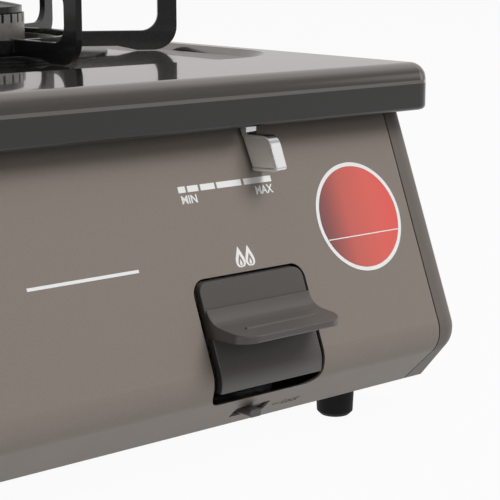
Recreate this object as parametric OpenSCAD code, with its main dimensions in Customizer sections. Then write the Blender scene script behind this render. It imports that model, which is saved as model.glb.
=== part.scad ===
// Two-burner table gas stove, millimetres.
// X points right, Y points back and Z points up; the origin is on the table under the middle of the stove.

/* [Top] */
// Width of the top over its rim
top_w = 595; // [560:1:680]
// Depth of the top over its rim
top_d = 440; // [420:1:500]
// Sheet thickness of the top plate
plate_t = 1; // [0.8:0.1:1.4]
// Height of the top plate from its seam to its flat
plate_h = 8.4; // [8:0.1:12]
// Radius of the top plate's long edges
edge_r = 7; // [4:0.5:7.5]
// Radius of the top's corners in plan
corner_r = 8; // [7.75:0.25:14]
// Height of the rim frame below the seam
rim_h = 11.1; // [9:0.1:16]
// Wall of the rim frame
rim_t = 1.2; // [0.8:0.1:1.8]
// Width of the rim frame's inner ledges
ledge_w = 4; // [2.5:0.5:4]
// Radius of the rim frame's lower edge
rim_r = 1.9; // [1.9:0.1:3]
// Depth of the pressed recess
recess_depth = 3; // [2:0.1:5]
// Width of the recess's sloping wall
recess_slope = 4; // [3:0.5:4.5]
// Corner radius of the recess
recess_r = 40; // [20:1:50]
// Margin between the rim's side and the recess
recess_side = 13; // [11:0.1:14]
// Margin between the rim's front and the recess
recess_front = 68; // [62:1:90]
// Margin between the rim's back and the recess
recess_back = 48; // [46:1:80]
// Distance from the rim's side to a burner
burner_side = 109.5; // [109.5:0.5:125]
// Distance from the rim's front to the burners
burner_setback = 212; // [200:1:230]

/* [Case] */
// Clear height under the case
foot_clear = 14.2; // [10:0.1:25]
// Height of the case from its lower edge to the rim
body_h = 113.1; // [108:0.1:140]
// Slope of the front panel from upright
panel_tilt = 22.3; // [18:0.1:24]
// Slope of the panel's lower face from upright
facet_tilt = 46.4; // [40:0.1:50]
// Height of the knee above the case's lower edge
knee_h = 21.15; // [19:0.05:24]
// Radius of the knee
knee_r = 12; // [11:0.5:15]
// Distance that the panel lies behind the rim
panel_setback = 12.2; // [11:0.1:16]
// Sheet thickness of the case
sheet_t = 1; // [0.8:0.1:1.4]
// Distance that the rim stands out past the side panels
side_overhang = 4.8; // [4.6:0.1:8]
// Width of the side panels' rounded front edge
cap_w = 12.7; // [11:0.1:16]
// Radius of the side panels' rounded front edge
cap_r = 8.8; // [3:0.1:9.5]
// Groove between the front panel and a side panel
groove_w = 0.6; // [0.3:0.1:1.2]
// Distance that the rear panel lies in front of the rim's back
rear_setback = 34; // [30:1:40]
// Width of the case's folded flanges
flange_w = 6; // [4:0.5:8]
// Height of the base tray's turned-up edge
tray_edge_h = 9; // [5:0.5:12]
// Diameter of a foot at the table
foot_d = 15.2; // [10:0.1:20]
// Diameter of a foot at the case
foot_top_d = 16.6; // [11:0.1:22]
// Distance from the rim's side to a foot
foot_side = 42.2; // [36:0.1:60]
// Distance from the case's folded flanges to a foot
foot_inset = 2.2; // [1:0.1:15]

/* [Ignition lever] */
// Width of the lever
lever_w = 50.2; // [42:0.1:60]
// Gap between the lever and its opening, on each side
lever_gap = 2.2; // [1.5:0.1:3]
// Gap above the lever
lever_top_gap = 1.1; // [0.8:0.1:2]
// Height of the opening's lower edge above the case's lower edge
opening_lo = 14.3; // [13:0.1:15]
// Height of the opening
opening_h = 46.2; // [44:0.1:50]
// Corner radius of the opening
opening_r = 6; // [3:0.5:8]
// Gap under the lever
lever_drop_gap = 5.9; // [4:0.1:8]
// Wall of the lever
lever_wall = 3; // [2:0.1:4]
// Distance that the lever's plate stands out from the panel
lever_proud = 1.2; // [0:0.1:1.5]
// Distance that the finger shelf stands out from the panel
shelf_out = 21.4; // [14:0.1:24]
// Height of the shelf's tip above the case's lower edge
shelf_z = 44; // [41:0.1:46]
// Thickness of the shelf's lip
shelf_t = 2.8; // [2.4:0.1:4]
// Slope of the shelf
shelf_tilt = 4.3; // [0:0.1:10]
// Corner radius of the shelf in plan
shelf_r = 8; // [3:0.5:12]
// Fillet between the lever's plate and its shelf
shelf_fillet = 9; // [3:0.5:9.5]
// Narrowing of the lever below its shelf, on each side
lever_waist = 0.5; // [0:0.5:4]
// Radius of the lever's pivot pin
pin_r = 2; // [1.5:0.1:3]
// Distance of the pivot behind the panel
pivot_back = 14; // [12:0.5:16]
// Travel of the lever in degrees
lever_travel = 15; // [8:1:16]

/* [Flame lever] */
// Distance from the rim's front to the flame lever's pivot
flame_setback = 96; // [92:1:104]
// Swing of the flame lever from the middle to either end
flame_half = 10.3; // [6:0.1:12]
// Width of the flame arm
arm_w = 8; // [5:0.5:10]
// Thickness of the flame arm
arm_t = 2; // [1.5:0.1:2.5]
// Width of the flame knob
knob_w = 6; // [5:0.1:8]
// Height of the flame knob's blade
knob_h = 13.9; // [11:0.1:16]
// Depth of the flame knob's blade at its foot
knob_d = 12.4; // [9:0.1:14]

/* [Lock] */
// Width of the lock slot
slot_w = 17; // [16:0.5:22]
// Height of the lock slot
slot_h = 6.6; // [6.4:0.1:8]
// Distance of the slot up the lower face
slot_up = 9.6; // [9:0.1:11]
// Width of the lock tab
tab_w = 5.4; // [4:0.1:6.4]
// Height of the lock tab
tab_h = 3; // [2.4:0.1:3.1]
// Length of the lock tab outside the panel
tab_out = 6; // [3:0.1:9]
// Travel of the lock
lock_travel = 5; // [3:0.1:6]

/* [Burner and trivet] */
// Radius of the burner head
head_r = 36.5; // [36:0.5:44]
// Height of the burner head's rim above the recess
head_h = 19; // [15:0.5:24]
// Thickness of the burner cap
cap_h = 7; // [5:0.5:9]
// Number of flame ports
ports = 36; // [24:1:48]
// Radius of the opening in the top plate
hole_r = 50.2; // [48:0.1:52]
// Height of the drip ring
drip_h = 7.2; // [5:0.1:9]
// Width of the drip ring's flange
drip_w = 24; // [10:1:26]
// Gap between the drip ring's crown and the trivet's ring
crown_gap = 4.5; // [1:0.1:6]
// Number of trivet arms
trivet_arms = 6; // [4:1:8]
// Radius at the middle of the trivet's feet
trivet_foot_r = 96; // [90:0.5:96]
// Height of the trivet
trivet_h = 39; // [34:0.5:46]
// Turn of the trivet's arms in degrees
trivet_turn = 0.8; // [0:0.1:3]
// Thickness of a trivet arm
trivet_t = 3; // [3:0.1:6]
// Radius of the trivet's ring
trivet_ring_r = 60; // [57:0.5:64]
// Width of the trivet's ring inside that radius
trivet_ring_in = 3; // [2.5:0.1:4]
// Radius that the trivet's claws leave free
claw_r = 48; // [46.5:0.5:54]

/* [Gas] */
// Radius of the gas pipe
pipe_r = 6; // [4:0.5:8]
// Radius of the hose nozzle
nozzle_r = 5.25; // [4:0.05:7]
// Length of the hose nozzle's plain part
nozzle_l = 22; // [12:0.5:22]
// Place of the hose nozzle from the stove's middle, along X
nozzle_x = -96; // [-110:1:-60]

/* [Hidden] */
$fn = 64;
run = 0.05;
seat = 0.3;
eps = 0.01;
hair = 0.02;

z_base = foot_clear;
z_rim = z_base + body_h;
z_seam = z_rim + rim_h;
z_top = z_seam + plate_h;
z_under = z_top - plate_t;
z_side = z_seam + 3;
z_floor = z_top - recess_depth;
z_tray = z_base + sheet_t;
z_tray_top = z_tray + sheet_t;
z_knee = z_base + knee_h;
z_shelf = z_base + shelf_z;
lever_reach = (z_rim - z_shelf) * tan(panel_tilt) + shelf_out - panel_setback;
y_rim = (lever_reach - top_d) / 2;
y_back = y_rim + top_d;
y_knee = y_rim + panel_setback - (z_rim - z_knee) * tan(panel_tilt);
y_foot = y_knee + knee_h * tan(facet_tilt);
y_rear = y_back - rear_setback;
x_out = top_w / 2 - side_overhang;
x_groove = x_out - cap_w;
panel_w = 2 * (x_groove - groove_w);
station_x = top_w / 2 - burner_side;
burner_y = y_rim + burner_setback;
flame_y = y_rim + flame_setback;
foot_x = top_w / 2 - foot_side;
foot_bevel = 1.5;
foot_ys = [y_foot + flange_w + foot_top_d / 2 + foot_inset, y_rear - flange_w - foot_top_d / 2 - foot_inset];

knee_tan = knee_r * tan((panel_tilt + facet_tilt) / 2);
knee_c = [y_knee + knee_tan * sin(panel_tilt) + knee_r * cos(panel_tilt),
          z_knee + knee_tan * cos(panel_tilt) - knee_r * sin(panel_tilt)];
cap_depth = cap_r + 0.2;
cap_low_r = 0.6;

z_open_lo = z_base + opening_lo;
z_open_hi = z_open_lo + opening_h;
z_lever_lo = z_open_lo + lever_drop_gap;
z_lever_hi = z_open_hi - lever_top_gap;
lever_face = lever_proud / cos(panel_tilt);
lever_back = (lever_wall - lever_proud) / cos(panel_tilt) - 0.5;
shelf_tip = [panel_y(z_shelf) - shelf_out, z_shelf];
shelf_dir = [-cos(shelf_tilt), -sin(shelf_tilt)];
shelf_edge_r = 0.7;
ridge_r = 0.7;
ridge_w = 33.5;
ridge_back = 9;
pivot_z = z_open_hi + pin_r / 2;
pivot_y = panel_y(pivot_z) + pivot_back;
boss_r = pin_r + 3;
ear_t = 1.5;
ear_x = lever_w / 2 + lever_gap + 0.3;
bracket_back = pivot_y + 48;
bracket_foot_y = pivot_y + 14;
bracket_foot_l = 20;
plunger_r = 3;
plunger_tip_r = 4;
plunger_drop = 25;
plunger_z = pivot_z - plunger_drop;
pad_in = 8.6;
pad_y = pivot_y - pad_in;
plunger_stroke = (plunger_drop * sin(lever_travel) + plunger_tip_r - pad_in) / cos(lever_travel)
                 - plunger_tip_r + pad_in;
plunger_tip_y = pad_y + seat;
collar_y = plunger_tip_y + 12;
valve_front = bracket_back + sheet_t;
valve_w = 34;
valve_h = 30;
valve_foot = 28;
plunger_in = 14;
plunger_bore = plunger_in + plunger_stroke + 9.5;
valve_back = flame_y + 16;
tower_r = 12;
arm_z = z_rim + 1;
tower_top = arm_z - 1;
spindle_r = 4;
spindle_foot = tower_top - 18;
tube_z = z_rim - 12;
tube_r = 13;
tube_mouth = valve_back + 12;
bowl_r = head_r - 4;
bowl_z = tube_z - tube_r - 3;
head_seat = z_floor - 1;
spigot_r = bowl_r - 6;
spigot_h = 8;
igniter_w = 18;
slot_x = 0.3;
lock_plate = 1.6;
tab_x = 0.2 - lock_travel / 2;
tab_z = z_base + slot_up * cos(facet_tilt) + 0.3;
neck_r0 = knob_back(z_rim - 2);
neck_d = 3.1;
neck_top = arm_z + arm_t + 2;
tongue_w = 3;
knob_top = z_rim - 3.4;
knob_foot = knob_top - knob_h;
knob_lean = 19;
window_w = 2 * (flame_setback * sin(flame_half) + arm_w / 2 + 3);
window_lo = z_rim - 0.8;
window_h = arm_t + 5.4;
lug_r = 46.3;
rod_r = 2;
screw_r = 1.9;
screw_head_r = 3.6;
screw_head_h = 2;

paint = [0.54, 0.50, 0.47];
dark_paint = [0.28, 0.28, 0.28];
enamel_black = [0.10, 0.10, 0.10];
steel = [0.66, 0.67, 0.68];
brass = [0.78, 0.63, 0.33];
alloy = [0.55, 0.54, 0.52];
chrome = [0.86, 0.87, 0.88];
plastic = [0.31, 0.29, 0.27];
rubber = [0.09, 0.09, 0.09];
ceramic = [0.90, 0.88, 0.84];
copper = [0.72, 0.45, 0.30];

// Front face of the sloping panel at height z
function panel_y(z) = y_knee + (z - z_knee) * tan(panel_tilt);
// Outer face of the panel's lower part at height z
function facet_y(z) = y_knee + (z_knee - z) * tan(facet_tilt);
// Back of the flame knob at height z, from its pivot, clear of the panel at both ends of the swing
function knob_back(z) = (flame_y - panel_y(z)) / cos(flame_half) + knob_w / 2 * tan(flame_half) + 0.4;

// Shape helpers

// Extrudes a side view, drawn with Y across and Z up, to width w about the middle
module along_x(w) rotate([90, 0, 90]) translate([0, 0, -w / 2]) linear_extrude(w) children();

// Extrudes a front view, drawn with X across and Z up, from y0 back to y1
module along_y(y0, y1) translate([0, y1, 0]) rotate([90, 0, 0]) linear_extrude(y1 - y0) children();

// Frame on the lower face at distance s up from its lower edge: Y runs up the face and Z points out of it
module on_facet(x, s)
    translate([x, y_foot - s * sin(facet_tilt), z_base + s * cos(facet_tilt)])
        rotate([90 + facet_tilt, 0, 0]) children();

// Copies to the right and left burner stations
module station(side) translate([side * station_x, 0, 0]) children();

// Rectangle with round corners about the origin
module round_rect(w, h, r) {
    square([w - 2 * r, h], center = true);
    square([w, h - 2 * r], center = true);
    for (sx = [-1, 1], sy = [-1, 1]) translate([sx * (w / 2 - r), sy * (h / 2 - r)]) circle(r);
}

// Rectangle whose outer upper corner is round, from x = 0 to w and y = 0 to h
module quarter_round(w, h, r) {
    square([w - r, h]);
    square([w, h - r]);
    translate([w - r, h - r]) intersection() {
        circle(r);
        square(r);
    }
}

// Piece between two edges of polygon p and the circle of radius r that rounds corner i
module corner_piece(p, i, r) {
    a = p[(i + len(p) - 1) % len(p)] - p[i];
    b = p[(i + 1) % len(p)] - p[i];
    ua = a / norm(a);
    ub = b / norm(b);
    half = acos(ua * ub) / 2;
    mid = (ua + ub) / norm(ua + ub);
    middle = p[i] + mid * r / sin(half);
    difference() {
        polygon([p[i] - mid, p[i] + ua * r / tan(half), middle, p[i] + ub * r / tan(half)]);
        translate(middle) circle(r);
    }
}

// Polygon with round corners: a radius above 0 rounds an outer corner, one below 0 fills an inner corner
module round_poly(p, radii) difference() {
    union() {
        polygon(p);
        for (i = [0 : len(p) - 1]) if (radii[i] < 0) corner_piece(p, i, -radii[i]);
    }
    for (i = [0 : len(p) - 1]) if (radii[i] > 0) corner_piece(p, i, radii[i]);
}

// Sweeps a section, drawn with x outwards from 0 at the start of the corner, round a rectangle in plan
module sweep_round(hx, hy, r) {
    for (a = [0, 90, 180, 270]) {
        cx = (a == 0 || a == 270) ? hx - r : r - hx;
        cy = (a == 0 || a == 90) ? hy - r : r - hy;
        translate([cx, cy, 0]) rotate([0, 0, a]) rotate_extrude(angle = 90) children();
        length = (a == 0 || a == 180) ? 2 * (hy - r) : 2 * (hx - r);
        rotate([0, 0, a])
            translate([((a == 0 || a == 180) ? hx : hy) - r, length / 2, 0])
                rotate([90, 0, 0]) linear_extrude(length) children();
    }
}

// Tube of radius r along a bent route, with a ball at each bend
module bent_rod(route, r) {
    for (i = [0 : len(route) - 2]) {
        d = route[i + 1] - route[i];
        translate(route[i])
            rotate([0, acos(d[2] / norm(d)), atan2(d[1], d[0])]) cylinder(h = norm(d), r = r);
        if (i > 0) translate(route[i]) sphere(r * 1.2);
    }
}

// Space behind the case's front profile, set in by o, between two heights and back to two depths
module case_side(o, z_lo, z_hi, y_lo, y_hi) {
    polygon([[panel_y(z_hi) + o / cos(panel_tilt), z_hi],
             knee_c + (knee_r - o) * [-cos(panel_tilt), sin(panel_tilt)],
             knee_c,
             knee_c + (knee_r - o) * [-cos(facet_tilt), -sin(facet_tilt)],
             [facet_y(z_lo) + o / cos(facet_tilt), z_lo],
             [y_lo, z_lo],
             [y_hi, z_hi]]);
    translate(knee_c) circle(knee_r - o);
}

// Pan-head screw with its head's underside at the origin and its shank along -Z
module screw(length) {
    cylinder(h = screw_head_h, r1 = screw_head_r, r2 = screw_head_r * 0.75);
    translate([0, 0, -length]) cylinder(h = length + eps, r = screw_r);
}

// Case

module base_tray() color(steel) difference() {
    hx = x_out - sheet_t - seat;
    y0 = y_foot + sheet_t / cos(facet_tilt) + seat;
    y1 = y_rear - seat;
    corner_l = cap_depth / cos(facet_tilt);
    union() {
        translate([-hx, y0, z_tray]) cube([2 * hx, y1 - y0, sheet_t]);
        for (x = [-hx, hx - sheet_t])
            translate([x, y0, z_tray]) cube([sheet_t, y1 - y0, tray_edge_h]);
        translate([-hx, y1 - sheet_t, z_tray]) cube([2 * hx, sheet_t, tray_edge_h]);
    }
    for (x = [-foot_x, foot_x], y = foot_ys)
        translate([x, y, z_tray - 1]) cylinder(h = sheet_t + 2, r = screw_r + 0.2);
    for (s = [-1, 1]) translate([s * (x_groove + cap_w) - cap_w - groove_w, y0 - 1, z_tray - 1])
        cube([2 * cap_w + groove_w * 2, corner_l + 1, tray_edge_h + 2]);
}

// Opening for a lever, as seen from the front
module lever_opening() translate([0, (z_open_lo + z_open_hi) / 2])
    round_rect(lever_w + 2 * lever_gap, opening_h, opening_r);

module front_panel() color(paint) difference() {
    along_x(panel_w) difference() {
        case_side(0, z_base, z_under, y_foot + flange_w, panel_y(z_under) + flange_w);
        case_side(sheet_t, z_base + sheet_t, z_under - sheet_t, y_back, y_back);
    }
    for (side = [-1, 1]) station(side) {
        along_y(y_knee - 1, pivot_y) lever_opening();
        on_facet(slot_x, slot_up) translate([0, 0, -3]) linear_extrude(6) round_rect(slot_w, slot_h, 0.8);
        translate([-window_w / 2, panel_y(arm_z) - 8, window_lo]) cube([window_w, 16, window_h]);
    }
}

// Outer and inner outlines of a side panel's rounded front edge, a hair inside the side wall:
// x outwards, y out of the panel
module cap_outer(r) translate([hair, -cap_depth])
    quarter_round(cap_w - 2 * hair, cap_depth - hair, r - hair);

module cap_inner(r) {
    wall = sheet_t + hair;
    translate([wall, -cap_depth - 1])
        quarter_round(cap_w - 2 * wall, cap_depth + 1 - wall, max(r - wall, 0.2));
}

module cap_section() difference() {
    cap_outer(cap_r);
    cap_inner(cap_r);
}

// Frame at the knee's end on the face with this tilt: Y runs up the face and Z points out of it
module knee_end(tilt) translate([x_groove, knee_c[0], knee_c[1]]) rotate([90 + tilt, 0, 0])
    translate([0, 0, knee_r]) children();

// Rounded front edge of the right side panel, along the slope, the knee and the lower face, where its radius
// tapers. A hair parts the three lengths, and the side wall joins them.
module cap_edge() {
    slope_l = (z_under - z_base) / cos(panel_tilt) + knee_r;
    facet_l = knee_h / cos(facet_tilt) - knee_tan + cap_depth * tan(facet_tilt) + 1;
    translate([x_groove, knee_c[0], knee_c[1]]) rotate([90, 0, 90])
        rotate([0, 0, 180 - panel_tilt]) rotate_extrude(angle = panel_tilt + facet_tilt)
            translate([knee_r, 0]) mirror([1, -1, 0]) cap_section();
    knee_end(-panel_tilt) translate([0, hair + slope_l, 0]) rotate([90, 0, 0])
        linear_extrude(slope_l) cap_section();
    knee_end(facet_tilt) translate([0, -hair, 0]) rotate([90, 0, 0]) difference() {
        hull() {
            linear_extrude(eps) cap_outer(cap_r);
            translate([0, 0, facet_l]) linear_extrude(eps) cap_outer(cap_low_r);
        }
        hull() {
            translate([0, 0, -1]) linear_extrude(eps) cap_inner(cap_r);
            translate([0, 0, facet_l + 1]) linear_extrude(eps) cap_inner(cap_low_r);
        }
    }
}

module side_panel() color(paint) {
    intersection() {
        cap_edge();
        translate([0, y_knee - 10, z_base]) cube([top_w, top_d, z_side - z_base]);
    }
    translate([x_out - sheet_t / 2, 0, 0]) along_x(sheet_t)
        case_side(cap_depth - 1, z_base, z_side, y_rear + sheet_t, y_rear + sheet_t);
    for (z = [z_base, z_side - sheet_t]) {
        y0 = (z == z_base ? y_foot + knee_r : panel_y(z) + knee_r);
        translate([x_out - flange_w, y0, z]) cube([flange_w, y_rear - seat - y0, sheet_t]);
    }
}

module right_side_panel() side_panel();
module left_side_panel() mirror([1, 0, 0]) side_panel();

module rear_panel() color(paint) difference() {
    hx = x_out - sheet_t - seat;
    vent_w = 40;
    vent_h = 4;
    union() {
        along_y(y_rear, y_rear + sheet_t) {
            translate([-hx, z_base]) square([2 * hx, z_side - z_base]);
            translate([-hx + flange_w, z_base + 1]) square([2 * (hx - flange_w), z_under - z_base - 1]);
        }
        for (z = [z_base, z_under - sheet_t])
            translate([-hx + flange_w, y_rear - flange_w, z])
                cube([2 * (hx - flange_w), flange_w + eps, sheet_t]);
    }
    for (i = [-4 : 4], j = [0 : 2]) if (i != -2 || j > 0)
        translate([i * vent_w * 1.4 - vent_w / 2, y_rear - 1, z_base + 34 + j * 3 * vent_h])
            cube([vent_w, sheet_t + 2, vent_h]);
    translate([nozzle_x, y_rear - 1, plunger_z]) rotate([-90, 0, 0])
        cylinder(h = sheet_t + 2, r = pipe_r + 0.4);
}

module top_frame() color(dark_paint) translate([0, y_rim + top_d / 2, z_rim])
    sweep_round(top_w / 2, top_d / 2, corner_r) difference() {
        intersection() {
            translate([0, rim_h]) mirror([0, 1]) quarter_round(corner_r, rim_h, rim_r);
            translate([corner_r - ledge_w, -1]) square([ledge_w + 1, rim_h + 2]);
        }
        translate([0, rim_h - rim_t]) mirror([0, 1])
            quarter_round(corner_r - rim_t, rim_h - 2 * rim_t, rim_r - rim_t);
    }

// Section of the recess, with its floor at height z and its wall set out by o
module recess_section(z, o, z_end) {
    run_out = recess_slope / recess_depth;
    foot = recess_r - recess_slope + (z - (z_floor - z_top)) * run_out + o;
    polygon([[0, z], [foot, z], [foot + (z_end - z) * run_out, z_end], [0, z_end]]);
}

// Pressed recess of the top, set out by o all round
module recess_form(o, z_end) {
    hx = top_w / 2 - recess_side;
    y0 = y_rim + recess_front;
    y1 = y_back - recess_back;
    out = o / sin(atan(recess_depth / recess_slope));
    translate([0, (y0 + y1) / 2, z_top]) {
        sweep_round(hx, (y1 - y0) / 2, recess_r) recess_section(z_floor - z_top - o, out, z_end);
        translate([0, 0, (z_floor - z_top - o + z_end) / 2])
            cube([2 * (hx - recess_r), y1 - y0 - 2 * recess_r, z_end - (z_floor - z_top - o)], center = true);
    }
}

module top_plate() color(paint) difference() {
    union() {
        translate([0, y_rim + top_d / 2, z_seam]) {
            sweep_round(top_w / 2, top_d / 2, corner_r) difference() {
                quarter_round(corner_r, plate_h, edge_r);
                quarter_round(corner_r - plate_t, plate_h - plate_t, edge_r - plate_t);
            }
            translate([0, 0, plate_h - plate_t / 2])
                cube([top_w - 2 * corner_r, top_d - 2 * corner_r, plate_t], center = true);
        }
        recess_form(plate_t, 0);
    }
    recess_form(0, 1);
    for (x = [-station_x, station_x])
        translate([x, burner_y, z_floor - 3]) cylinder(h = 6, r = hole_r);
}

module rubber_feet() color(rubber) for (x = [-foot_x, foot_x], y = foot_ys) translate([x, y, 0]) difference() {
    union() {
        cylinder(h = foot_bevel, d1 = foot_d - 2 * foot_bevel, d2 = foot_d);
        translate([0, 0, foot_bevel]) cylinder(h = z_tray - foot_bevel, d1 = foot_d, d2 = foot_top_d);
    }
    translate([0, 0, 5]) cylinder(h = z_tray, r = screw_r + 0.1);
}

module foot_screws() color(steel) for (x = [-foot_x, foot_x], y = foot_ys)
    translate([x, y, z_tray_top]) screw(z_tray_top - 6);

module case_screws() color(steel) for (x = [-x_groove + 40, 0, x_groove - 40], z = [z_base + 16, z_under - 16])
    translate([x, y_rear + sheet_t, z]) rotate([-90, 0, 0]) cylinder(h = screw_head_h, r1 = screw_head_r,
                                                                     r2 = screw_head_r * 0.75);

// Gas supply

module gas_manifold() color(steel) {
    x_end = station_x - valve_w / 2;
    y = flame_y - 6;
    translate([-x_end, y, plunger_z]) rotate([0, 90, 0]) cylinder(h = 2 * x_end, r = pipe_r);
    translate([nozzle_x, y, plunger_z]) rotate([-90, 0, 0])
        cylinder(h = y_rear + sheet_t - y, r = pipe_r - 0.5);
    translate([nozzle_x - 10, y, plunger_z]) rotate([0, 90, 0]) cylinder(h = 20, r = pipe_r + 2);
}

module hose_nozzle() color(brass) translate([nozzle_x, y_rear + sheet_t, plunger_z]) rotate([-90, 0, 0]) {
    cylinder(h = 5, r = pipe_r + 3.5, $fn = 6);
    cylinder(h = 5 + nozzle_l, r = nozzle_r);
    translate([0, 0, 5 + nozzle_l]) cylinder(h = 2, r1 = nozzle_r, r2 = nozzle_r - 1);
}

// Ignition lever and its valve

// Ear of the control bracket, as seen from the side
module ear_outline() difference() {
    union() {
        translate([pivot_y, pivot_z]) circle(boss_r);
        polygon([[pivot_y - boss_r, pivot_z], [pivot_y + boss_r, pivot_z],
                 [bracket_back, plunger_z + valve_h / 2], [bracket_back, z_tray_top],
                 [pivot_y + 4, z_tray_top], [pivot_y - boss_r, plunger_z]]);
    }
    translate([pivot_y, pivot_z]) circle(pin_r + 0.02);
}

module control_bracket() color(steel) {
    for (s = [-1, 1]) translate([s * (ear_x + ear_t / 2), 0, 0]) along_x(ear_t) ear_outline();
    difference() {
        translate([-ear_x - ear_t, bracket_back - sheet_t, z_tray_top])
            cube([2 * (ear_x + ear_t), 2 * sheet_t, plunger_z + valve_h / 2 - z_tray_top]);
        translate([0, bracket_back - 2, plunger_z]) rotate([-90, 0, 0]) cylinder(h = 5, r = plunger_r + 1.5);
    }
    translate([-ear_x - ear_t, bracket_foot_y, z_tray_top])
        cube([2 * (ear_x + ear_t), bracket_foot_l, sheet_t]);
}
module right_control_bracket() station(1) control_bracket();
module left_control_bracket() station(-1) control_bracket();

module lever_pin() color(steel) translate([-ear_x - ear_t - 1, pivot_y, pivot_z]) rotate([0, 90, 0]) {
    cylinder(h = 2 * (ear_x + ear_t + 1), r = pin_r);
    translate([0, 0, -1]) cylinder(h = 1 + eps, r = pin_r + 1.5);
}
module right_lever_pin() station(1) lever_pin();
module left_lever_pin() station(-1) lever_pin();

// Side view of the lever's curved plate between two heights
module lever_plate(z_lo, z_hi) intersection() {
    difference() {
        case_side(-lever_proud, z_base, z_under, y_rear, y_rear);
        case_side(lever_wall - lever_proud, z_base - 5, z_under + 5, y_rear, y_rear);
    }
    translate([y_knee - 5, z_lo]) square([60, z_hi - z_lo]);
}

// Side view of the finger shelf with its fillet
module shelf_outline() {
    up = [sin(panel_tilt), cos(panel_tilt)];
    reach = (panel_y(z_shelf) - lever_face - shelf_tip[0])
            / (cos(shelf_tilt) + sin(shelf_tilt) * tan(panel_tilt));
    corner = shelf_tip - reach * shelf_dir;
    half = acos(shelf_dir * up) / 2;
    mid = (shelf_dir + up) / norm(shelf_dir + up);
    leg = shelf_fillet / tan(half);
    lip = shelf_tip + [shelf_edge_r, 0];
    difference() {
        union() {
            polygon([corner + leg * up, corner + leg * shelf_dir, corner + [lever_wall, -shelf_t]]);
            polygon([corner + [lever_wall, 0], corner, lip, lip - [0, shelf_t],
                     corner + [lever_wall, -shelf_t - 3]]);
            translate([shelf_tip[0], z_shelf - shelf_t + shelf_edge_r])
                square([shelf_edge_r + 1, shelf_t - 2 * shelf_edge_r]);
            for (z = [-shelf_edge_r, shelf_edge_r - shelf_t]) translate(lip + [0, z]) circle(shelf_edge_r);
        }
        translate(corner + mid * shelf_fillet / sin(half)) circle(shelf_fillet);
    }
}

module ignition_lever() color(plastic) {
    boss_w = 12;
    // Upper plate with round top corners
    intersection() {
        along_x(lever_w) lever_plate(z_shelf - shelf_t, z_lever_hi);
        along_y(y_knee - 1, pivot_y) translate([0, z_lever_hi - 40])
            round_rect(lever_w, 80, opening_r - lever_gap);
    }
    // Shelf with round front corners
    intersection() {
        along_x(lever_w) shelf_outline();
        translate([0, shelf_tip[0] + 40, 0]) linear_extrude(z_under) round_rect(lever_w, 80, shelf_r);
    }
    // Grip ridge on the shelf
    ridge = shelf_tip - ridge_back * shelf_dir - [0, ridge_r / 3];
    translate([-ridge_w / 2, ridge[0], ridge[1]]) rotate([0, 90, 0]) cylinder(h = ridge_w, r = ridge_r);
    // Narrower lower part
    along_x(lever_w - 2 * lever_waist) lever_plate(z_lever_lo, z_shelf);
    // Arms back to the pivot
    for (s = [-1, 1]) translate([s * (lever_w / 2 - boss_w / 2 - 2), 0, 0]) difference() {
        union() {
            translate([-boss_w / 2, pivot_y, pivot_z]) rotate([0, 90, 0]) cylinder(h = boss_w, r = boss_r);
            along_x(3) polygon([[panel_y(z_lever_hi) + lever_back, z_lever_hi - 2],
                                [pivot_y, pivot_z + boss_r - 2], [pivot_y, pivot_z - boss_r + 1],
                                [panel_y(z_shelf) + lever_back, z_shelf]]);
        }
        translate([-boss_w, pivot_y, pivot_z]) rotate([0, 90, 0]) cylinder(h = 2 * boss_w, r = pin_r + run);
    }
    // Pad that presses the plunger
    translate([0, panel_y(plunger_z) + lever_back, plunger_z]) rotate([-90, 0, 0])
        cylinder(h = pad_y - panel_y(plunger_z) - lever_back, r = 6);
}
module right_ignition_lever() station(1) ignition_lever();
module left_ignition_lever() station(-1) ignition_lever();

module plunger() color(steel) translate([0, plunger_tip_y, plunger_z]) rotate([-90, 0, 0]) {
    translate([0, 0, plunger_tip_r]) sphere(plunger_tip_r);
    translate([0, 0, plunger_tip_r])
        cylinder(h = valve_front + plunger_in - plunger_tip_y - plunger_tip_r, r = plunger_r);
    translate([0, 0, collar_y - plunger_tip_y]) cylinder(h = 2, r = plunger_r + 3.5);
}
module right_plunger() station(1) plunger();
module left_plunger() station(-1) plunger();

// Coil spring between the plunger's collar and the bracket
module plunger_spring() color(steel) {
    wire = 0.7;
    coil = plunger_r + 1.6;
    y0 = collar_y + 2 + wire + seat / 2;
    y1 = bracket_back - sheet_t - wire - seat / 2;
    turns = 7;
    steps = turns * 16;
    sides = 6;
    points = [for (i = [0 : steps], k = [0 : sides - 1])
        let (a = 360 * turns * i / steps, b = 360 * k / sides, r = coil + wire * cos(b))
        [r * cos(a), y0 + (y1 - y0) * i / steps + wire * sin(b), plunger_z + r * sin(a)]];
    walls = [for (i = [0 : steps - 1], k = [0 : sides - 1])
        let (p = i * sides + k, q = i * sides + (k + 1) % sides)
        each [[p, q, p + sides], [q, q + sides, p + sides]]];
    ends = [for (k = [1 : sides - 2])
        each [[0, k + 1, k], [steps * sides, steps * sides + k, steps * sides + k + 1]]];
    polyhedron(points, concat(walls, ends));
}
module right_plunger_spring() station(1) plunger_spring();
module left_plunger_spring() station(-1) plunger_spring();

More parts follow.
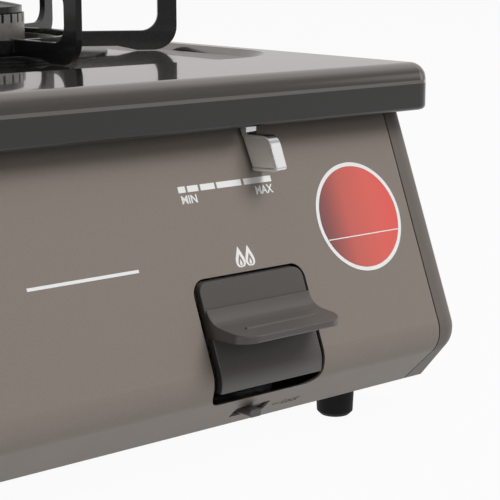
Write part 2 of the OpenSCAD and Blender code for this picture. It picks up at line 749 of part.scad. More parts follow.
module valve_body() color(alloy) difference() {
    union() {
        translate([-valve_w / 2, valve_front, plunger_z - valve_h / 2])
            cube([valve_w, valve_back - valve_front, valve_h]);
        translate([0, flame_y, plunger_z]) cylinder(h = tower_top - plunger_z, r = tower_r);
        translate([0, flame_y, tube_z]) rotate([-90, 0, 0]) cylinder(h = valve_back - flame_y, r = 9);
        translate([-valve_foot / 2, flame_y - valve_foot / 2, z_tray_top])
            cube([valve_foot, valve_foot, plunger_z - z_tray_top]);
    }
    translate([0, valve_front - 1, plunger_z]) rotate([-90, 0, 0])
        cylinder(h = plunger_bore + 1, r = plunger_r + run);
    translate([0, flame_y, spindle_foot - seat])
        cylinder(h = tower_top - spindle_foot + 1, r = spindle_r + run);
}
module right_valve_body() station(1) valve_body();
module left_valve_body() station(-1) valve_body();

// Flame lever

// Turns from the middle of the swing to the high end, about the flame lever's pivot
module flame_turn() translate([0, flame_y, 0]) rotate([0, 0, flame_half]) children();

module flame_spindle() color(brass) translate([0, flame_y, spindle_foot]) {
    cylinder(h = arm_z - spindle_foot, r = spindle_r);
    cylinder(h = arm_z + arm_t - spindle_foot, r = spindle_r - 1.2);
    translate([0, 0, arm_z + arm_t - spindle_foot]) cylinder(h = 2, r = spindle_r);
}
module right_flame_spindle() station(1) flame_spindle();
module left_flame_spindle() station(-1) flame_spindle();

module flame_arm() color(steel) flame_turn() translate([0, 0, arm_z]) difference() {
    union() {
        cylinder(h = arm_t, r = arm_w / 2 + 3);
        translate([-arm_w / 2, -neck_r0 + seat, 0]) cube([arm_w, neck_r0 - seat, arm_t]);
        translate([-tongue_w / 2, -neck_r0 - neck_d + 1, 0]) cube([tongue_w, neck_d + 2, arm_t]);
    }
    translate([0, 0, -1]) cylinder(h = arm_t + 2, r = spindle_r - 1.2 + 0.02);
}
module right_flame_arm() station(1) flame_arm();
module left_flame_arm() station(-1) flame_arm();

// Side view of the flame knob with its neck: x forwards from the pivot, y up
module knob_outline() {
    front = knob_back(knob_foot) + knob_d;
    round_poly([[knob_back(knob_foot), knob_foot], [front, knob_foot + 0.4],
                [front - knob_h * tan(knob_lean), knob_top], [neck_r0 + neck_d, knob_top],
                [neck_r0 + neck_d, neck_top], [neck_r0, neck_top], [neck_r0, z_rim - 2]],
               [0.8, 1.5, 5, -1, 0, 0, 0]);
}

// Side view of the hollow in a cheek of the knob, open to the back
module knob_hollow() {
    edge = 1.1;
    low_front = knob_back(knob_foot) + knob_d - edge * 1.6;
    high_front = low_front - (knob_h - 2.4 * edge) * tan(knob_lean);
    round_poly([[knob_back(knob_foot) - 2, knob_foot + edge], [low_front, knob_foot + 1.4 * edge],
                [high_front, knob_top - edge], [knob_back(knob_top - edge) - 2, knob_top - edge]],
               [0, 0.8, 4, 0]);
}

module flame_knob() color(chrome) flame_turn() difference() {
    rotate([90, 0, -90]) translate([0, 0, -knob_w / 2]) linear_extrude(knob_w) knob_outline();
    translate([-tongue_w / 2 - run, -neck_r0 - neck_d + 1 - run, arm_z - run])
        cube([tongue_w + 2 * run, neck_d, arm_t + 2 * run]);
    // Shallow hollows in both cheeks leave a bright border
    for (s = [-1, 1]) translate([s * knob_w / 2, 0, 0]) rotate([90, 0, -90]) translate([0, 0, -0.4])
        linear_extrude(0.8) knob_hollow();
}
module right_flame_knob() station(1) flame_knob();
module left_flame_knob() station(-1) flame_knob();

// Child lock

module lock_slide() color(plastic) {
    on_facet(slot_x, slot_up) translate([-slot_w / 2 - 6, -slot_h / 2 - 1, -sheet_t - seat - lock_plate])
        cube([slot_w + 12, slot_h + 2, lock_plate]);
    along_y(facet_y(tab_z) - tab_out, facet_y(tab_z) + (sheet_t + seat + lock_plate) / cos(facet_tilt))
        translate([slot_x + tab_x, tab_z]) round_rect(tab_w, tab_h, 0.8);
}
module right_lock_slide() station(1) lock_slide();
module left_lock_slide() station(-1) lock_slide();

// Burner

module injector() color(brass) translate([0, valve_back + eps, tube_z]) rotate([-90, 0, 0]) {
    cylinder(h = 5, r = 5.5, $fn = 6);
    cylinder(h = 9, r1 = 4, r2 = 2.5);
}
module right_injector() station(1) injector();
module left_injector() station(-1) injector();

module air_shutter() color(steel) translate([0, tube_mouth, tube_z]) rotate([-90, 0, 0]) difference() {
    cylinder(h = 9, r = tube_r + 1.5);
    translate([0, 0, 1.2]) cylinder(h = 9, r = tube_r + 0.1);
    translate([0, 0, -1]) cylinder(h = 4, r = 7);
    for (s = [-1, 1]) translate([s * 10, 0, -1]) cylinder(h = 4, r = 2);
}
module right_air_shutter() station(1) air_shutter();
module left_air_shutter() station(-1) air_shutter();

module burner_body() color(alloy) difference() {
    union() {
        translate([0, burner_y, bowl_z]) cylinder(h = 12, r1 = bowl_r - 12, r2 = bowl_r);
        translate([0, burner_y, bowl_z + 12]) cylinder(h = head_seat - bowl_z - 12, r = bowl_r);
        translate([0, tube_mouth + 1.2, tube_z]) rotate([-90, 0, 0])
            cylinder(h = burner_y - tube_mouth - 1.2, r = tube_r);
        for (a = [60, 120]) translate([0, burner_y, bowl_z + 14]) rotate([0, 0, a])
            translate([bowl_r - 4, -4, 0]) cube([lug_r - bowl_r + 8, 8, 4]);
    }
    translate([0, burner_y, bowl_z + 3]) cylinder(h = 12, r1 = bowl_r - 16, r2 = bowl_r - 5);
    translate([0, burner_y, bowl_z + 15 - eps]) cylinder(h = 60, r = bowl_r - 5);
    translate([0, tube_mouth, tube_z]) rotate([-90, 0, 0])
        cylinder(h = burner_y - tube_mouth, r = tube_r - 2.5);
    for (a = [60, 120]) translate([0, burner_y, bowl_z]) rotate([0, 0, a])
        translate([lug_r, 0, 0]) cylinder(h = 40, r = rod_r + run);
}
module right_burner_body() station(1) burner_body();
module left_burner_body() station(-1) burner_body();

module burner_support() color(steel) {
    w = 36;
    leg = 24;
    top = bowl_z - sheet_t;
    translate([-w / 2, burner_y - leg, top]) cube([w, 2 * leg, sheet_t]);
    for (s = [-1, 1]) {
        translate([-w / 2, burner_y + s * leg - sheet_t / 2, z_tray_top])
            cube([w, sheet_t, top - z_tray_top + eps]);
        translate([-w / 2, burner_y + s * (leg + 6) - 6, z_tray_top]) cube([w, 12, sheet_t]);
    }
}
module right_burner_support() station(1) burner_support();
module left_burner_support() station(-1) burner_support();

module burner_head() color(alloy) translate([0, burner_y, head_seat + seat]) difference() {
    wall = 6;
    rim = z_floor + head_h - head_seat - seat;
    union() {
        cylinder(h = rim, r = head_r);
        translate([0, 0, -spigot_h]) cylinder(h = spigot_h + eps, r = spigot_r);
    }
    translate([0, 0, -spigot_h - 1]) cylinder(h = rim + spigot_h + 2, r = spigot_r - 4);
    translate([0, 0, rim - 8]) cylinder(h = 9, r = head_r - wall);
    for (i = [0 : ports - 1]) rotate([0, 0, (i + 0.5) * 360 / ports])
        translate([head_r - wall - 2, -0.8, rim - 4]) cube([wall + 4, 1.6, 5]);
}
module right_burner_head() station(1) burner_head();
module left_burner_head() station(-1) burner_head();

module burner_cap() color(enamel_black) translate([0, burner_y, z_floor + head_h + seat]) {
    dome_r = 160;
    rotate_extrude() difference() {
        intersection() {
            square([head_r - 1, cap_h]);
            translate([0, cap_h - dome_r]) circle(dome_r, $fn = 720);
        }
        translate([head_r - 1, cap_h - 1]) rotate(45) square(3, center = true);
    }
    translate([0, 0, -4]) cylinder(h = 4 + eps, r = head_r - 6 - seat);
}
module right_burner_cap() station(1) burner_cap();
module left_burner_cap() station(-1) burner_cap();

module drip_ring() color(enamel_black) translate([0, burner_y, z_floor]) rotate_extrude() {
    t = 0.8;
    r = trivet_ring_r - trivet_ring_in - crown_gap - t;
    polygon([[r + drip_w, 0], [r + drip_w, t], [r + 4, t + 0.4], [r + t, drip_h], [r - t, drip_h], [hole_r - 1.1, 2],
             [hole_r - 1.1, -4], [hole_r - 0.3, -4], [hole_r - 0.3, 0]]);
}
module right_drip_ring() station(1) drip_ring();
module left_drip_ring() station(-1) drip_ring();

// Side view of one trivet arm: x outwards from the burner's middle, y up from the recess
module trivet_arm_outline() {
    f = trivet_foot_r;
    h = trivet_h;
    toe_in = 5.7;
    toe_out = 2.4;
    ramp = 9.5;
    heel_r = 11.3;
    finger_w = 9.2;
    claw_h = 8;
    bar_lo = 2.1;
    bar_hi = 9.3;
    outer = f + toe_out + heel_r;
    inner = outer - finger_w;
    round_poly([[f - toe_in, 0], [outer, 0], [outer, h], [claw_r, h], [claw_r, h - claw_h], [inner, h - claw_h],
                [inner, bar_hi], [trivet_ring_r - 2, bar_hi], [trivet_ring_r - 2, bar_lo],
                [f - toe_in - ramp, bar_lo]],
               [0, heel_r, 6, 2, 2, -6, -8, 0, 0, 0]);
}

module trivet() color(enamel_black) translate([0, burner_y, z_floor + seat]) {
    for (i = [0 : trivet_arms - 1]) rotate([0, 0, 30 + trivet_turn + i * 360 / trivet_arms])
        translate([0, trivet_t / 2, 0]) rotate([90, 0, 0]) linear_extrude(trivet_t) trivet_arm_outline();
    rotate_extrude() translate([trivet_ring_r - trivet_ring_in, 2.8])
        square([trivet_ring_in + 1, 6]);
}
module right_trivet() station(1) trivet();
module left_trivet() station(-1) trivet();

module spark_electrode() {
    a = 60;
    foot = bowl_z + 6;
    base = [lug_r * cos(a), burner_y + lug_r * sin(a), foot];
    color(ceramic) translate(base) cylinder(h = z_floor + head_h - 4 - foot, r = rod_r);
    color(steel) translate(base) cylinder(h = z_floor + head_h + 1 - foot, r = 0.8);
    wire_x = ear_x + ear_t + igniter_w / 2;
    wire_y = bracket_back - 10;
    color(rubber) bent_rod([base + [0, 0, 1], base + [0, 0, -18], [wire_x, wire_y, base[2] - 18],
                            [wire_x, wire_y, plunger_z + 10]], 1.5);
}
module right_spark_electrode() station(1) spark_electrode();
module left_spark_electrode() station(-1) spark_electrode();

module thermocouple() color(copper) {
    a = 120;
    foot = bowl_z + 6;
    base = [lug_r * cos(a), burner_y + lug_r * sin(a), foot];
    translate(base) cylinder(h = z_floor + head_h + 2 - foot, r = rod_r);
    bent_rod([base + [0, 0, 1], base + [0, 0, -26], [base[0], valve_back + 8, base[2] - 26],
              [-valve_w / 4, valve_back + 8, plunger_z + 4], [-valve_w / 4, valve_back, plunger_z + 4]], 1.2);
}
module right_thermocouple() station(1) thermocouple();
module left_thermocouple() station(-1) thermocouple();

module igniter() color(plastic) translate([ear_x + ear_t, bracket_back - 30, plunger_z - 14])
    cube([igniter_w, 28, 24]);
module right_igniter() station(1) igniter();
module left_igniter() station(-1) igniter();

base_tray();
front_panel();
right_side_panel();
left_side_panel();
rear_panel();
top_frame();
top_plate();
rubber_feet();
foot_screws();
case_screws();
gas_manifold();
hose_nozzle();
right_control_bracket();
left_control_bracket();
right_lever_pin();
left_lever_pin();
right_ignition_lever();
left_ignition_lever();
right_plunger();
left_plunger();
right_plunger_spring();
left_plunger_spring();
right_valve_body();
left_valve_body();
right_flame_spindle();
left_flame_spindle();
right_flame_arm();
left_flame_arm();
right_flame_knob();
left_flame_knob();
right_lock_slide();
left_lock_slide();
right_injector();
left_injector();
right_air_shutter();
left_air_shutter();
right_burner_body();
left_burner_body();
right_burner_support();
left_burner_support();
right_burner_head();
left_burner_head();
right_burner_cap();
left_burner_cap();
right_drip_ring();
left_drip_ring();
right_trivet();
left_trivet();
right_spark_electrode();
left_spark_electrode();
right_thermocouple();
left_thermocouple();
right_igniter();
left_igniter();
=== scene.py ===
# Looks of the two-burner table gas stove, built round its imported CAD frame. Metres, unless a name says mm.
import math

import bpy
from mathutils import Matrix, Vector


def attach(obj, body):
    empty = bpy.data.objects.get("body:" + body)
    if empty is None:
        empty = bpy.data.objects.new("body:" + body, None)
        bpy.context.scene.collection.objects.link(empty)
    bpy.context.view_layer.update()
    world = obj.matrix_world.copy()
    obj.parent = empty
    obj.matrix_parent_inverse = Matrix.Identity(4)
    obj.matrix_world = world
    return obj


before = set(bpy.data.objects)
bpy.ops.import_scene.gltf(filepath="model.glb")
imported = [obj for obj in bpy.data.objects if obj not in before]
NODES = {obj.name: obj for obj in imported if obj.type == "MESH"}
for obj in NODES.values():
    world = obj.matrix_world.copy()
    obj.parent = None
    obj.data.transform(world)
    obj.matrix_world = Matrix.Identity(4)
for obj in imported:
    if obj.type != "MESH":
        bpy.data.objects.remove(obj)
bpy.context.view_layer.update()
SIDES = (("right", 0.188), ("left", -0.188))
MM_PER_M = 1000

# Front panel, as in the CAD: the two slopes, half of the flame lever's swing, the knee's corner
# and the height of the lower edge
PANEL_TILT = math.radians(22.3)
FACET_TILT = math.radians(46.4)
FLAME_HALF = math.radians(10.3)
KNEE = Vector((0.0, -0.226742, 0.03535))
BASE_Z = 0.0142
# Middle of the round sticker; the panel's prints are measured from the same height
STICKER = Vector((0.2513, 0.0, 0.0876))
# Distance of a print from the paint, and of the sticker's upper layers
PRINT_LIFT = 0.00006
STICKER_FACE_LIFT = 0.0001
STICKER_LINE_LIFT = 0.00014


def face_frame(place, up, out):
    """Frame on a face that runs along x: x to the right, y up the face, z out of it."""
    return Matrix((
        (1, up.x, out.x, place.x),
        (0, up.y, out.y, place.y),
        (0, up.z, out.z, place.z),
        (0, 0, 0, 1),
    ))


def panel_frame(x, z, lift=PRINT_LIFT):
    """Frame on the sloping panel at height z."""
    up = Vector((0, math.sin(PANEL_TILT), math.cos(PANEL_TILT)))
    out = Vector((0, -math.cos(PANEL_TILT), math.sin(PANEL_TILT)))
    y = KNEE.y + (z - KNEE.z) * math.tan(PANEL_TILT)
    return face_frame(Vector((x, y, z)) + out * lift, up, out)


def facet_frame(x):
    """Frame on the lower face, at its lower edge."""
    up = Vector((0, -math.sin(FACET_TILT), math.cos(FACET_TILT)))
    out = Vector((0, -math.cos(FACET_TILT), -math.sin(FACET_TILT)))
    y = KNEE.y + (KNEE.z - BASE_Z) * math.tan(FACET_TILT)
    return face_frame(Vector((x, y, BASE_Z)) + out * PRINT_LIFT, up, out)


# Node helpers


def spread(tree, value, low, high, start=0.3, end=0.7):
    """Maps a value, a noise as a rule, to a range."""
    node = tree.nodes.new("ShaderNodeMapRange")
    node.inputs["From Min"].default_value = start
    node.inputs["From Max"].default_value = end
    node.inputs["To Min"].default_value = low
    node.inputs["To Max"].default_value = high
    tree.links.new(value, node.inputs["Value"])
    return node.outputs["Result"]


def ramp(tree, value, stops):
    """Colour ramp over a value; stops are (place, colour) pairs."""
    node = tree.nodes.new("ShaderNodeValToRGB")
    while len(node.color_ramp.elements) < len(stops):
        node.color_ramp.elements.new(0.5)
    for element, (place, color) in zip(node.color_ramp.elements, stops):
        element.position = place
        element.color = (*color, 1)
    tree.links.new(value, node.inputs["Fac"])
    return node.outputs["Color"]


def combine(tree, operation, first, second):
    """Joins two values by a sum, a product or the like."""
    node = tree.nodes.new("ShaderNodeMath")
    node.operation = operation
    tree.links.new(first, node.inputs[0])
    tree.links.new(second, node.inputs[1])
    return node.outputs["Value"]


def towards(tree, vector, direction):
    """How far a vector points along a direction."""
    node = tree.nodes.new("ShaderNodeVectorMath")
    node.operation = "DOT_PRODUCT"
    node.inputs[1].default_value = direction
    tree.links.new(vector, node.inputs[0])
    return node.outputs["Value"]


def blend(tree, share, first, second):
    """Mixes two shaders; the share is that of the second."""
    node = tree.nodes.new("ShaderNodeMixShader")
    tree.links.new(share, node.inputs["Fac"])
    tree.links.new(first, node.inputs[1])
    tree.links.new(second, node.inputs[2])
    return node.outputs["Shader"]


def coordinates(tree, kind):
    return tree.nodes.new("ShaderNodeTexCoord").outputs[kind]


def split(tree, vector):
    """The three parts of a vector."""
    node = tree.nodes.new("ShaderNodeSeparateXYZ")
    tree.links.new(vector, node.inputs["Vector"])
    return node.outputs


def noise(tree, scale, detail=2.0):
    """Noise in the piece's own frame; scale counts features per metre."""
    node = tree.nodes.new("ShaderNodeTexNoise")
    node.inputs["Scale"].default_value = scale
    node.inputs["Detail"].default_value = detail
    tree.links.new(coordinates(tree, "Object"), node.inputs["Vector"])
    return node.outputs["Fac"]


EDGE_SAMPLES = 6


def soften(tree, shader, radius):
    """Rounds the shading of sharp edges, so that they catch the light."""
    node = tree.nodes.new("ShaderNodeBevel")
    node.samples = EDGE_SAMPLES
    node.inputs["Radius"].default_value = radius
    tree.links.new(node.outputs["Normal"], shader.inputs["Normal"])


def bump(tree, shader, value, distance, strength):
    """Adds relief on top of what the shader's normal already has."""
    node = tree.nodes.new("ShaderNodeBump")
    node.inputs["Strength"].default_value = strength
    node.inputs["Distance"].default_value = distance
    tree.links.new(value, node.inputs["Height"])
    if shader.inputs["Normal"].is_linked:
        tree.links.new(shader.inputs["Normal"].links[0].from_socket, node.inputs["Normal"])
    tree.links.new(node.outputs["Normal"], shader.inputs["Normal"])


# Materials


def material(name, color, rough, metal=0.0, coat=0.0, coat_rough=0.05, specular=0.5):
    """A principled material with its node tree and shader."""
    finish = bpy.data.materials.new(name)
    finish.use_nodes = True
    tree = finish.node_tree
    shader = tree.nodes["Principled BSDF"]
    shader.inputs["Base Color"].default_value = (*color, 1)
    shader.inputs["Roughness"].default_value = rough
    shader.inputs["Metallic"].default_value = metal
    shader.inputs["Coat Weight"].default_value = coat
    shader.inputs["Coat Roughness"].default_value = coat_rough
    shader.inputs["Specular IOR Level"].default_value = specular
    return finish, tree, shader


def shade(color, factor):
    return tuple(part * factor for part in color)


GLOSS_CHANGE = 0.03
GLOSS_SCALE = 60


def grained(name, color, rough, spot, spot_scale, edge=None, relief=None, **more):
    """A material with fine spots of lighter and darker colour and a slight change of gloss.

    edge is the radius of softened edges, relief the (scale, distance, strength) of fine bumps.
    """
    finish, tree, shader = material(name, color, rough, **more)
    stops = ((0.3, shade(color, 1 - spot)), (0.5, color), (0.7, shade(color, 1 + spot)))
    tree.links.new(ramp(tree, noise(tree, spot_scale, 3), stops), shader.inputs["Base Color"])
    gloss = spread(tree, noise(tree, GLOSS_SCALE), rough * (1 - GLOSS_CHANGE), rough * (1 + GLOSS_CHANGE))
    tree.links.new(gloss, shader.inputs["Roughness"])
    if edge:
        soften(tree, shader, edge)
    if relief:
        scale, distance, strength = relief
        bump(tree, shader, noise(tree, scale), distance, strength)
    return finish


PAINT_RELIEF = (1500, 0.00002, 0.10)
PAINT = grained("brown_metallic_paint", (0.270, 0.232, 0.202), 0.48, 0.07, 2600, metal=0.25,
                relief=PAINT_RELIEF)
# A darker copy of the brown paint for the side and rear panels: the darkening is painted shade
SHADED_BROWN_PAINT = grained("brown_paint_painted_shade", (0.168, 0.148, 0.134), 0.50, 0.06, 2600, metal=0.25,
                     relief=PAINT_RELIEF)
TOP = grained("brown_top_enamel", (0.190, 0.172, 0.161), 0.15, 0.05, 2600, metal=0.9, coat=1.0,
              coat_rough=0.03, relief=(220, 0.00003, 0.03))
RIM = grained("rim_grey_gloss", (0.030, 0.030, 0.029), 0.30, 0.06, 1800, coat=0.3, coat_rough=0.12)
LEVER = grained("lever_plastic", (0.080, 0.072, 0.067), 0.32, 0.08, 2600, specular=0.85,
                edge=0.0007, relief=(3200, 0.00003, 0.3))
RUBBER = grained("black_rubber", (0.007, 0.007, 0.007), 0.62, 0.2, 1200, specular=0.2,
                 relief=(900, 0.00006, 0.4))
ENAMEL = grained("black_enamel", (0.009, 0.009, 0.009), 0.22, 0.25, 900, coat=0.15, specular=0.3,
                 edge=0.0007, relief=(350, 0.00008, 0.25))
CHROME_COLOR = (0.88, 0.90, 0.91)
CHROME_ROUGH = 0.08
CHROME = grained("chrome", CHROME_COLOR, CHROME_ROUGH, 0.02, 700, metal=1.0, edge=0.0006)
STEEL = grained("zinc_steel", (0.46, 0.47, 0.48), 0.34, 0.08, 500, metal=1.0)
ALLOY = grained("cast_alloy", (0.33, 0.32, 0.30), 0.42, 0.14, 800, metal=0.9, relief=(1400, 0.0001, 0.35))
BRASS = grained("turned_brass", (0.56, 0.38, 0.14), 0.26, 0.10, 900, metal=1.0)
CERAMIC = grained("white_ceramic", (0.80, 0.78, 0.72), 0.25, 0.04, 600, coat=0.5)
COPPER = grained("copper_tube", (0.55, 0.27, 0.16), 0.32, 0.10, 700, metal=1.0)
PRINT = grained("white_print", (0.84, 0.84, 0.83), 0.5, 0.03, 3000)
DARK_PRINT = grained("dark_print", (0.020, 0.018, 0.017), 0.5, 0.1, 3000)
STICKER_RED = grained("sticker_red", (0.50, 0.135, 0.115), 0.35, 0.06, 500, coat=0.4, coat_rough=0.15)

# The chrome knob's two cheeks are satin; they lie square to the knob's place in its swing
CHEEK_COLOR = (0.90, 0.90, 0.90)
CHEEK_ROUGH = 0.42
CHEEK_FROM, CHEEK_TO = 0.90, 0.94
tree = CHROME.node_tree
shader = tree.nodes["Principled BSDF"]
square = towards(tree, coordinates(tree, "Normal"), (math.cos(FLAME_HALF), math.sin(FLAME_HALF), 0))
either_side = tree.nodes.new("ShaderNodeMath")
either_side.operation = "ABSOLUTE"
tree.links.new(square, either_side.inputs[0])
cheek = either_side.outputs["Value"]
cheek_stops = ((CHEEK_FROM, CHROME_COLOR), (CHEEK_TO, CHEEK_COLOR))
tree.links.new(ramp(tree, cheek, cheek_stops), shader.inputs["Base Color"])
cheek_rough = spread(tree, cheek, CHROME_ROUGH, CHEEK_ROUGH, CHEEK_FROM, CHEEK_TO)
tree.links.new(cheek_rough, shader.inputs["Roughness"])

# The sticker's red gets lighter from left to right
STICKER_HALF = 0.021
STICKER_REDS = ((0.0, (0.19, 0.085, 0.085)), (0.12, (0.28, 0.093, 0.088)), (0.35, (0.56, 0.128, 0.105)),
                (0.7, (0.71, 0.130, 0.106)), (1.0, (0.75, 0.108, 0.094)))
tree = STICKER_RED.node_tree
shader = tree.nodes["Principled BSDF"]
across = spread(tree, split(tree, coordinates(tree, "Object"))["X"], 0.0, 1.0, -STICKER_HALF, STICKER_HALF)
tree.links.new(ramp(tree, across, STICKER_REDS), shader.inputs["Base Color"])

BY_NODE = {
    "front_panel": PAINT, "right_side_panel": SHADED_BROWN_PAINT, "left_side_panel": SHADED_BROWN_PAINT,
    "rear_panel": SHADED_BROWN_PAINT, "top_plate": TOP, "top_frame": RIM, "rubber_feet": RUBBER,
    "hose_nozzle": BRASS,
}
BY_PIECE = {
    "ignition_lever": LEVER, "lock_slide": LEVER, "igniter": LEVER, "flame_knob": CHROME,
    "drip_ring": ENAMEL, "trivet": ENAMEL, "burner_cap": ENAMEL, "burner_head": ALLOY,
    "burner_body": ALLOY, "valve_body": ALLOY, "injector": BRASS, "flame_spindle": BRASS,
    "thermocouple": COPPER, "spark_electrode": CERAMIC,
}
for name, node in NODES.items():
    piece = name.split("_", 1)[1] if name.startswith(("right_", "left_")) else name
    finish = BY_NODE.get(name) or BY_PIECE.get(piece, STEEL)
    node.data.materials.clear()
    node.data.materials.append(finish)


# Prints, in millimetres on their face


def lay_down(name, curve, place, finish):
    """Turns a flat curve or a word into a mesh piece on a face."""
    maker = bpy.data.objects.new(name + "_curve", curve)
    bpy.context.collection.objects.link(maker)
    bpy.context.view_layer.update()
    mesh = bpy.data.meshes.new_from_object(maker.evaluated_get(bpy.context.evaluated_depsgraph_get()))
    bpy.data.objects.remove(maker)
    mesh.materials.clear()
    mesh.materials.append(finish)
    piece = bpy.data.objects.new(name, mesh)
    piece.matrix_world = place
    bpy.context.collection.objects.link(piece)
    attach(piece, "stove")
    return piece


def flat_mesh(name, loops, place, finish):
    """Fills closed loops of (x, y) points, holes included, and lays them on a face."""
    curve = bpy.data.curves.new(name, "CURVE")
    curve.dimensions = "2D"
    curve.fill_mode = "BOTH"
    for loop in loops:
        spline = curve.splines.new("POLY")
        spline.points.add(len(loop) - 1)
        for point, (x, y) in zip(spline.points, loop):
            point.co = (x / MM_PER_M, y / MM_PER_M, 0, 1)
        spline.use_cyclic_u = True
    lay_down(name, curve, place, finish)


def word(name, text, box, place, finish, shear, bold):
    """Lays a generic word into a box (x0, x1, y0, y1) of the face."""
    curve = bpy.data.curves.new(name, "FONT")
    curve.body = text
    curve.shear = shear
    curve.offset = bold
    curve.fill_mode = "BOTH"
    piece = lay_down(name, curve, Matrix.Identity(4), finish)
    x0, x1, y0, y1 = box
    xs = [v.co.x for v in piece.data.vertices]
    ys = [v.co.y for v in piece.data.vertices]
    left, low = min(xs), min(ys)
    kx = (x1 - x0) / MM_PER_M / (max(xs) - left)
    ky = (y1 - y0) / MM_PER_M / (max(ys) - low)
    for v in piece.data.vertices:
        v.co = (x0 / MM_PER_M + (v.co.x - left) * kx, y0 / MM_PER_M + (v.co.y - low) * ky, 0)
    piece.matrix_world = place
    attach(piece, "stove")


def block(x0, x1, y0, y1):
    return [(x0, y0), (x1, y0), (x1, y1), (x0, y1)]


def ring(r, steps=96):
    turns = [2 * math.pi * i / steps for i in range(steps)]
    return [(r * math.cos(turn), r * math.sin(turn)) for turn in turns]


# Right edge of a flame from its foot to its tip, in shares of its width and height
FLAME_EDGE = ((0.30, 0.03), (0.46, 0.14), (0.50, 0.28), (0.44, 0.44), (0.32, 0.60), (0.19, 0.76),
              (0.08, 0.90))


def flame(x, y, w, h):
    """Closed outline of a flame that stands on (x, y)."""
    right = [(x + px * w, y + py * h) for px, py in FLAME_EDGE]
    left = [(x - px * w, y + py * h) for px, py in reversed(FLAME_EDGE)]
    return [(x, y)] + right + [(x, y + h)] + left


# Flame scale and its words: bars from the left to the right end, then boxes (x0, x1, y0, y1)
SCALE_BARS = ((-22.7, -19.3), (-18.4, -13.3), (-12.25, -5.4), (-4.45, 7.6), (8.85, 22.6))
SCALE_LOW, SCALE_HIGH = 18.9, 21.3
MIN_BOX = (-22.1, -14.9, 14.6, 17.8)
MAX_BOX = (13.7, 22.3, 14.5, 17.9)
SCALE_BOLD = 0.02
# Two flames, each with its middle and width, and in each a hollow and a core
FLAMES = ((-2.0, 4.7), (2.65, 4.5))
FLAME_FOOT, FLAME_H = -12.2, 8.2
HOLLOW_FOOT, HOLLOW_W, HOLLOW_H = -11.7, 2.4, 4.6
CORE_FOOT, CORE_W, CORE_H = -11.5, 1.2, 2.6
# Thin line on the panel, beside each station towards the stove's middle
FRONT_LINES = {"right": (-95.3, -48.5, -7.8, -6.6), "left": (48.5, 95.3, -7.8, -6.6)}
# Lock's word and arrow on the lower face
LOCK_BOX = (17.0, 26.4, 6.9, 10.4)
LOCK_SHEAR, LOCK_BOLD = 0.3, 0.03
LOCK_ARROW = ((12.2, 8.2), (13.8, 7.3), (13.8, 7.9), (16.2, 7.9), (16.2, 8.5), (13.8, 8.5), (13.8, 9.1))
# Round sticker: white disc, red face and thin line
DISC_R = 22.5
FACE_R = 20.9
STICKER_LINE = (-19.2, 19.2, -7.9, -7.5)

for side, station in SIDES:
    place = panel_frame(station, STICKER.z)
    bars = [block(x0, x1, SCALE_LOW, SCALE_HIGH) for x0, x1 in SCALE_BARS]
    flat_mesh(side + "_flame_scale", bars, place, PRINT)
    word(side + "_scale_low", "MIN", MIN_BOX, place, PRINT, 0.0, SCALE_BOLD)
    word(side + "_scale_high", "MAX", MAX_BOX, place, PRINT, 0.0, SCALE_BOLD)
    marks = []
    for x, w in FLAMES:
        marks.append(flame(x, FLAME_FOOT, w, FLAME_H))
        marks.append(flame(x, HOLLOW_FOOT, HOLLOW_W, HOLLOW_H))
        marks.append(flame(x, CORE_FOOT, CORE_W, CORE_H))
    flat_mesh(side + "_flame_marks", marks, place, PRINT)
    flat_mesh(side + "_front_line", [block(*FRONT_LINES[side])], place, PRINT)
    lower = facet_frame(station)
    word(side + "_lock_word", "Lock", LOCK_BOX, lower, DARK_PRINT, LOCK_SHEAR, LOCK_BOLD)
    flat_mesh(side + "_lock_arrow", [LOCK_ARROW], lower, DARK_PRINT)

flat_mesh("sticker_disc", [ring(DISC_R)], panel_frame(STICKER.x, STICKER.z), PRINT)
flat_mesh("sticker_face", [ring(FACE_R)], panel_frame(STICKER.x, STICKER.z, STICKER_FACE_LIFT), STICKER_RED)
flat_mesh("sticker_line", [block(*STICKER_LINE)], panel_frame(STICKER.x, STICKER.z, STICKER_LINE_LIFT), PRINT)


# Studio

FLOOR_HALF = 12
FLOOR_GREY = (0.36, 0.36, 0.36)
# Share of plain white in the floor that the camera sees; the rest keeps the stove's shadow
FLOOR_WHITE = 0.95
# Seen in gloss, the pale floor ends a hand's breadth in front of the stove
FLOOR_FAR, FLOOR_NEAR = 0.20, 0.88
FLOOR_FAR_Y, FLOOR_NEAR_Y = -0.40, -0.25
SKY_STRENGTH = 0.12
WHITE = (1, 1, 1, 1)
# Backdrop that gloss shows: its level at the front and at the back with the directions' y where they hold,
# and its gain low and high with the directions' z
BACKDROP_COLOR = (1.0, 0.97, 0.955, 1)
BACKDROP_LEVEL = (0.25, 0.56, -0.40, 0.05)
BACKDROP_GAIN = (1.0, 1.35, 0.3, 0.75)
# White cards at the right and at the left: direction, strength, and the cosine at which a card starts
CARDS = (((0.858, -0.459, 0.229), 0.6, 0.95), ((-0.65, -0.75, 0.12), 0.7, 0.85))
CARD_EDGE = 0.04
# Lamps: name, place, aim, size, power in watts, and whether gloss shows them
LAMPS = (
    ("overhead", (0.1, -0.3, 2.2), (0.1, -0.1, 0.1), (1.6, 1.3), 9, False),
    ("front", (1.9, -2.3, 3.15), (0.1, -0.2, 0.1), (2.0, 2.0), 157, False),
    ("front_left", (-0.69, -2.16, 0.92), (0.1, -0.2, 0.1), (0.3, 0.6), 3, True),
)

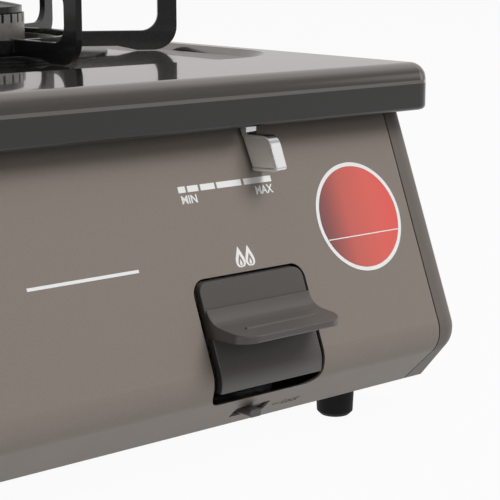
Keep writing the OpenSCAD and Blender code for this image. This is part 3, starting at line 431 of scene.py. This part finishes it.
h = FLOOR_HALF
mesh = bpy.data.meshes.new("floor")
mesh.from_pydata([(-h, -h, 0), (h, -h, 0), (h, h, 0), (-h, h, 0)], [], [(0, 1, 2, 3)])
floor = bpy.data.objects.new("floor", mesh)
bpy.context.collection.objects.link(floor)
finish, tree, shader = material("pale_floor", FLOOR_GREY, 0.9, specular=0.0)
glow = tree.nodes.new("ShaderNodeEmission")
glow.inputs["Strength"].default_value = 1.0
rays = tree.nodes.new("ShaderNodeLightPath").outputs
front_to_back = split(tree, coordinates(tree, "Object"))["Y"]
near = spread(tree, front_to_back, FLOOR_FAR, FLOOR_NEAR, FLOOR_FAR_Y, FLOOR_NEAR_Y)
mirrored = combine(tree, "MULTIPLY", rays["Is Glossy Ray"], near)
seen = spread(tree, rays["Is Camera Ray"], 0.0, FLOOR_WHITE, 0.0, 1.0)
white_share = combine(tree, "MAXIMUM", seen, mirrored)
surface = blend(tree, white_share, shader.outputs["BSDF"], glow.outputs["Emission"])
tree.links.new(surface, tree.nodes["Material Output"].inputs["Surface"])
floor.data.materials.append(finish)

world = bpy.data.worlds.new("studio")
bpy.context.scene.world = world
world.use_nodes = True
tree = world.node_tree
sky = tree.nodes["Background"]
sky.inputs["Color"].default_value = WHITE
sky.inputs["Strength"].default_value = SKY_STRENGTH
white = tree.nodes.new("ShaderNodeBackground")
white.inputs["Color"].default_value = WHITE
white.inputs["Strength"].default_value = 1.0
# Mirrored in gloss: a white backdrop behind and above the stove that dims towards the front, with the cards
backdrop = tree.nodes.new("ShaderNodeBackground")
backdrop.inputs["Color"].default_value = BACKDROP_COLOR
direction = coordinates(tree, "Generated")
parts = split(tree, direction)
to_the_back = spread(tree, parts["Y"], *BACKDROP_LEVEL)
upwards = spread(tree, parts["Z"], *BACKDROP_GAIN)
level = combine(tree, "MULTIPLY", to_the_back, upwards)
for card, strength, start in CARDS:
    shine = spread(tree, towards(tree, direction, card), 0.0, strength, start, start + CARD_EDGE)
    level = combine(tree, "ADD", level, shine)
tree.links.new(level, backdrop.inputs["Strength"])
rays = tree.nodes.new("ShaderNodeLightPath").outputs
around = blend(tree, rays["Is Glossy Ray"], sky.outputs["Background"], backdrop.outputs["Background"])
surface = blend(tree, rays["Is Camera Ray"], around, white.outputs["Background"])
tree.links.new(surface, tree.nodes["World Output"].inputs["Surface"])


def point(obj, direction):
    """Turns a lamp or camera towards a direction."""
    obj.rotation_mode = "QUATERNION"
    obj.rotation_quaternion = direction.to_track_quat("-Z", "Y")


for name, place, aim, size, power, in_gloss in LAMPS:
    light = bpy.data.lights.new(name, "AREA")
    light.shape = "RECTANGLE"
    light.size, light.size_y = size
    light.energy = power
    lamp = bpy.data.objects.new(name, light)
    lamp.location = place
    point(lamp, Vector(aim) - Vector(place))
    lamp.visible_glossy = in_gloss
    bpy.context.collection.objects.link(lamp)

# Camera, fitted to the photograph's straight edges
SENSOR_MM = 36
FOCAL_PX = 1544
PICTURE_PX = 500
EYE = (-0.1772, -0.6455, 0.1984)
EYE_DIRECTION = Vector((0.6314, 0.7493, -0.1995))
cam = bpy.data.cameras.new("camera")
cam.sensor_width = SENSOR_MM
cam.lens = SENSOR_MM * FOCAL_PX / PICTURE_PX
cam.clip_start = 0.01
eye = bpy.data.objects.new("camera", cam)
eye.location = EYE
point(eye, EYE_DIRECTION)
bpy.context.collection.objects.link(eye)
bpy.context.scene.camera = eye
bpy.context.scene.view_settings.view_transform = "Standard"
